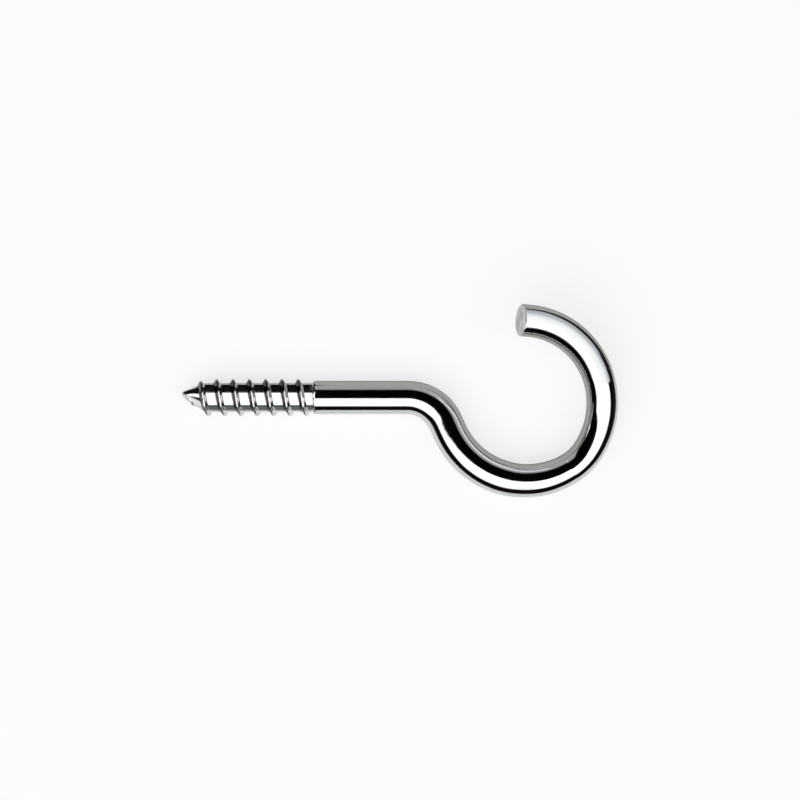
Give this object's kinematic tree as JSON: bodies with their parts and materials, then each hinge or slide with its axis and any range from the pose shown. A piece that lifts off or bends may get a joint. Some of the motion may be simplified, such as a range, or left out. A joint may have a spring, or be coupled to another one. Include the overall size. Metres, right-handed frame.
{
  "type": "screw hook",
  "caption": "Round steel wire bent into an open hook whose far half rises out of plane, with a wood-screw thread and gimlet point on its straight end.",
  "frame": {"origin": "on the screw axis, at the shoulder where the thread ends and the plain wire begins", "axes": "+X along the screw axis from the point towards the bow, +Y in the plane of the hook towards the open end, +Z out of the plane of the shank, up when the hook lies with its open end raised"},
  "size_m": [0.0602, 0.0265, 0.0109],
  "materials": {
    "bright_plating": "bright polished plating over steel wire, cut face left matt"
  },
  "bodies": {
    "root": {"screw_hook": "bright_plating"}
  },
  "joints": []
}
